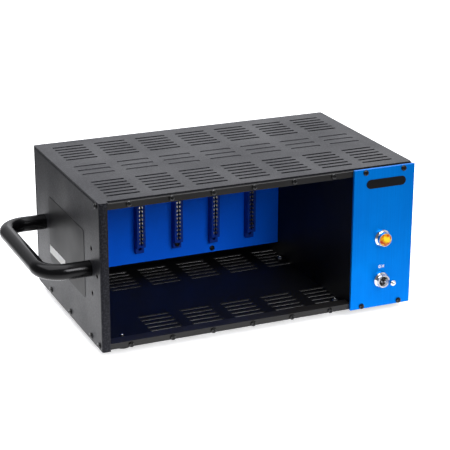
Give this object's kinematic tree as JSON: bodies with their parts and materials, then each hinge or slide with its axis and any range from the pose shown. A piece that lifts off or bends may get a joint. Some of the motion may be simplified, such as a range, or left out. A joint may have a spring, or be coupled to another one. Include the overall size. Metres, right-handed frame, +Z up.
{
  "type": "audio module rack",
  "caption": "Desktop rack of folded black steel for slide-in audio modules, with a bar handle, card connectors on a blue backplane, and a power switch and lamp on a blue panel.",
  "frame": {"origin": "middle of the bounding box on the surface that the feet stand on", "axes": "+Z up, the open bay and the power panel face -Y, the handle is on the -X side"},
  "size_m": [0.3462, 0.2154, 0.1408],
  "materials": {
    "black_powder_coat": "satin black powder coat on steel sheet",
    "black_rail": "satin black enamel on steel bar",
    "blue_anodised": "brushed blue anodised aluminium",
    "gloss_black_enamel": "gloss black enamel on steel bar",
    "black_oxide_steel": "black oxide steel",
    "zinc_steel": "bright zinc-plated steel",
    "grey_rubber": "matt grey rubber",
    "blue_connector_plastic": "moulded blue plastic",
    "tinned_contact": "tinned spring contact",
    "circuit_laminate": "green lacquered circuit laminate",
    "black_plastic": "moulded black plastic",
    "chrome_plate": "polished chrome plate",
    "amber_jewel": "clear amber, lit",
    "capacitor_sleeve": "shrunk blue-black sleeve",
    "black_anodised": "black anodised aluminium",
    "winding_tape": "yellow tape over copper windings"
  },
  "bodies": {
    "case": {"base_panel": "black_powder_coat", "top_cover": "black_powder_coat", "left_side_panel": "black_powder_coat", "right_side_panel": "black_powder_coat", "rear_panel": "black_powder_coat", "top_front_rail": "black_rail", "bottom_front_rail": "black_rail", "bay_divider": "black_powder_coat", "power_panel": "blue_anodised", "carry_handle": "gloss_black_enamel", "handle_bolts": "black_oxide_steel", "rubber_feet": "grey_rubber", "foot_screws": "zinc_steel", "front_screws": "black_oxide_steel", "case_screws": "black_oxide_steel", "ear_inserts": "black_oxide_steel", "backplane_plate": "blue_anodised", "backplane_board": "circuit_laminate", "backplane_posts": "zinc_steel", "plate_screws": "black_oxide_steel", "card_contacts": "tinned_contact", "input_inserts": "black_plastic", "socket_screws": "black_oxide_steel", "mains_inlet": "black_plastic", "toggle_body": "zinc_steel", "toggle_nuts": "chrome_plate", "lamp_bezel": "chrome_plate", "lamp_jewel": "amber_jewel", "lamp_holder": "black_plastic", "supply_board": "circuit_laminate", "supply_standoffs": "zinc_steel", "supply_capacitors": "capacitor_sleeve", "supply_heatsink": "black_anodised", "ring_transformer": "winding_tape", "transformer_bolt": "zinc_steel", "card_connector_1": "blue_connector_plastic", "input_socket_1": "black_plastic", "output_socket_1": "black_plastic", "card_connector_2": "blue_connector_plastic", "input_socket_2": "black_plastic", "output_socket_2": "black_plastic", "card_connector_3": "blue_connector_plastic", "input_socket_3": "black_plastic", "output_socket_3": "black_plastic", "card_connector_4": "blue_connector_plastic", "input_socket_4": "black_plastic", "output_socket_4": "black_plastic", "card_connector_5": "blue_connector_plastic", "input_socket_5": "black_plastic", "output_socket_5": "black_plastic", "card_connector_6": "blue_connector_plastic", "input_socket_6": "black_plastic", "output_socket_6": "black_plastic"},
    "toggle_lever": {"toggle_lever": "chrome_plate"},
    "input_latch_1": {"input_latch_1": "zinc_steel"},
    "input_latch_2": {"input_latch_2": "zinc_steel"},
    "input_latch_3": {"input_latch_3": "zinc_steel"},
    "input_latch_4": {"input_latch_4": "zinc_steel"},
    "input_latch_5": {"input_latch_5": "zinc_steel"},
    "input_latch_6": {"input_latch_6": "zinc_steel"}
  },
  "joints": [
    {"name": "toggle_throw", "type": "hinge", "parent": "case", "child": "toggle_lever", "pos_m": [0.14095, -0.08604, 0.034], "axis": [1, 0, 0], "range_deg": [0, 28]},
    {"name": "latch_press_1", "type": "slide", "parent": "case", "child": "input_latch_1", "axis": [0, -1, 0], "range_m": [0, 0.0015], "stiffness_N_per_m": 150},
    {"name": "latch_press_2", "type": "slide", "parent": "case", "child": "input_latch_2", "axis": [0, -1, 0], "range_m": [0, 0.0015], "stiffness_N_per_m": 150},
    {"name": "latch_press_3", "type": "slide", "parent": "case", "child": "input_latch_3", "axis": [0, -1, 0], "range_m": [0, 0.0015], "stiffness_N_per_m": 150},
    {"name": "latch_press_4", "type": "slide", "parent": "case", "child": "input_latch_4", "axis": [0, -1, 0], "range_m": [0, 0.0015], "stiffness_N_per_m": 150},
    {"name": "latch_press_5", "type": "slide", "parent": "case", "child": "input_latch_5", "axis": [0, -1, 0], "range_m": [0, 0.0015], "stiffness_N_per_m": 150},
    {"name": "latch_press_6", "type": "slide", "parent": "case", "child": "input_latch_6", "axis": [0, -1, 0], "range_m": [0, 0.0015], "stiffness_N_per_m": 150}
  ]
}
